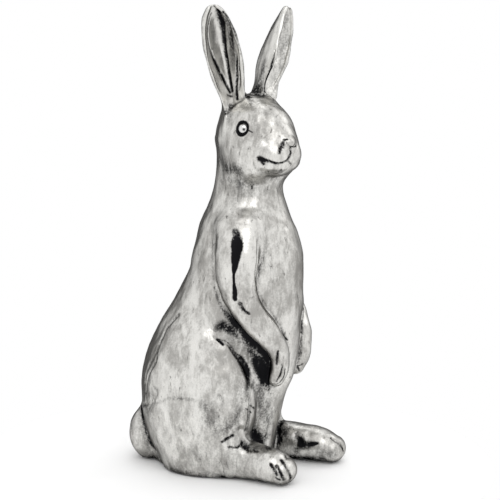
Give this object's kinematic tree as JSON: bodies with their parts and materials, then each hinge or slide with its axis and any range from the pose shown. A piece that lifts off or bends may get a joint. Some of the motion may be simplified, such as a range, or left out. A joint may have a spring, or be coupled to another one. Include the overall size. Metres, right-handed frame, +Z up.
{
  "type": "seated hare figurine",
  "caption": "Upright hare ornament sitting on its haunches, ears raised and head turned, cast in antiqued silver-coloured metal, standing on felt pads.",
  "frame": {"origin": "middle of the bounding box, on the surface that the felt pads stand on", "axes": "+Z up, -Y the way the body faces, +X the hare's left side"},
  "size_m": [0.127, 0.1858, 0.4018],
  "materials": {
    "antique_silver": "polished, with dark patina in the hollows",
    "polished_eye": "bright polish",
    "zinc_plated_steel": "zinc plated",
    "grey_felt": "pressed felt"
  },
  "bodies": {
    "root": {"body_casting": "antique_silver", "head_casting": "antique_silver", "ear_right": "antique_silver", "ear_left": "antique_silver", "foreleg_right": "antique_silver", "foreleg_left": "antique_silver", "hind_foot_right": "antique_silver", "hind_foot_left": "antique_silver", "tail": "antique_silver", "eye_right": "polished_eye", "eye_left": "polished_eye", "ear_dowel_right": "zinc_plated_steel", "ear_dowel_left": "zinc_plated_steel", "foreleg_dowel_right": "zinc_plated_steel", "foreleg_dowel_left": "zinc_plated_steel", "foot_dowel_right": "zinc_plated_steel", "foot_dowel_left": "zinc_plated_steel", "tail_dowel": "zinc_plated_steel", "neck_sleeve": "zinc_plated_steel", "base_plate": "zinc_plated_steel", "base_screw_front": "zinc_plated_steel", "base_screw_rear": "zinc_plated_steel", "felt_pad_front_right": "grey_felt", "felt_pad_front_left": "grey_felt", "felt_pad_rear_right": "grey_felt", "felt_pad_rear_left": "grey_felt"}
  },
  "joints": []
}
